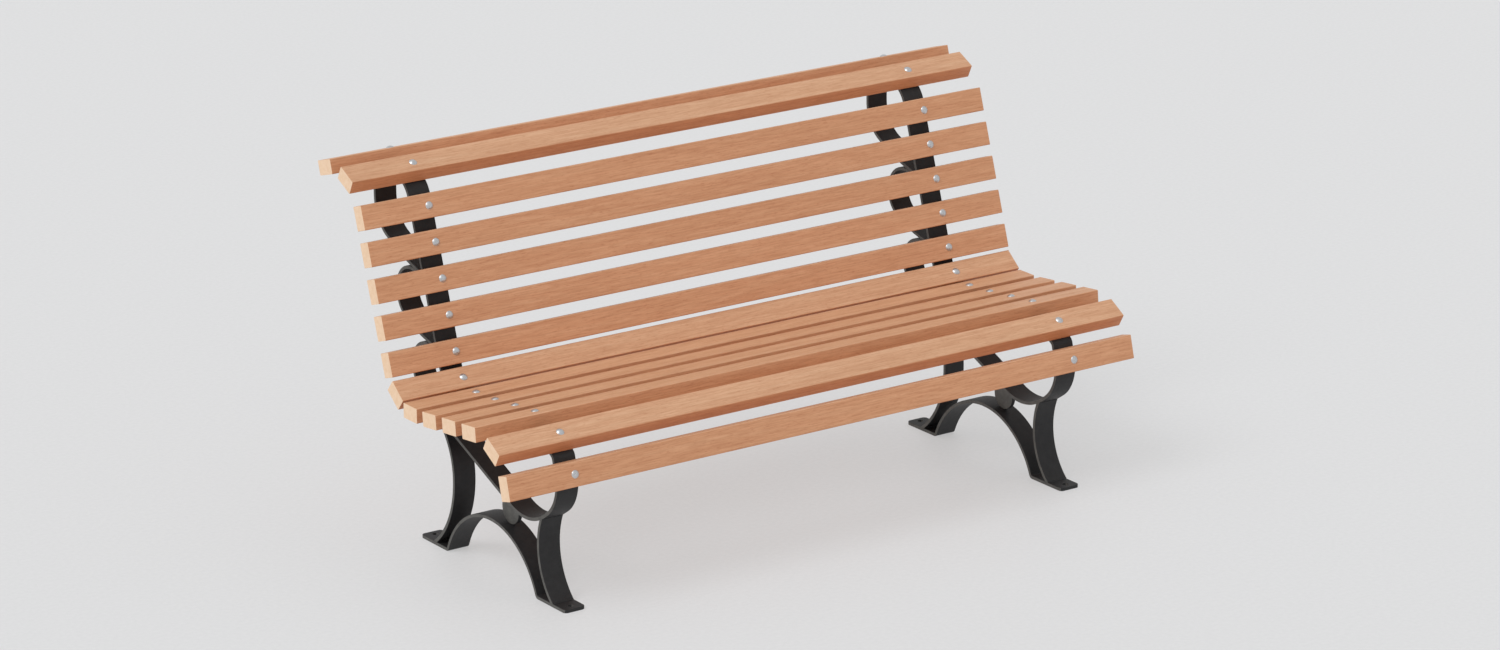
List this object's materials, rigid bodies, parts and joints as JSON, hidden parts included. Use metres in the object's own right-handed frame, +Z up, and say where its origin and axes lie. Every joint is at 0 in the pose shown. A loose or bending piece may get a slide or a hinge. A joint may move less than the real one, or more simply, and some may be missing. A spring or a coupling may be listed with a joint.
{
  "type": "park bench",
  "caption": "Park bench with a slatted wooden seat and back on two scrolled frames of flat black steel bar, bolted to the ground through foot pads.",
  "frame": {"origin": "middle of the overall box, at floor level under the foot pads", "axes": "+X along the slats to the right of someone looking at the front, +Y from the front of the seat to the back, +Z up"},
  "size_m": [1.75, 0.803, 0.91],
  "materials": {
    "wood": "satin orange-brown stain over fine lengthwise grain",
    "coated_steel": "fine-textured near-black powder coat",
    "zinc_steel": "zinc plated, dull silver"
  },
  "bodies": {
    "root": {"apron_slat": "wood", "back_slat_1": "wood", "back_slat_2": "wood", "back_slat_3": "wood", "back_slat_4": "wood", "back_slat_5": "wood", "crest_front_slat": "wood", "crest_rear_slat": "wood", "hip_slat": "wood", "left_base_bar": "coated_steel", "left_bolts": "zinc_steel", "left_front_leg": "coated_steel", "left_lock_nuts": "zinc_steel", "left_loop_bar": "coated_steel", "left_middle_hook": "coated_steel", "left_rear_leg": "coated_steel", "left_round_gusset": "coated_steel", "left_seat_back_bar": "coated_steel", "left_washers": "zinc_steel", "nose_slat": "wood", "right_base_bar": "coated_steel", "right_bolts": "zinc_steel", "right_front_leg": "coated_steel", "right_lock_nuts": "zinc_steel", "right_loop_bar": "coated_steel", "right_middle_hook": "coated_steel", "right_rear_leg": "coated_steel", "right_round_gusset": "coated_steel", "right_seat_back_bar": "coated_steel", "right_washers": "zinc_steel", "seat_slat_1": "wood", "seat_slat_2": "wood", "seat_slat_3": "wood", "seat_slat_4": "wood"}
  },
  "joints": []
}
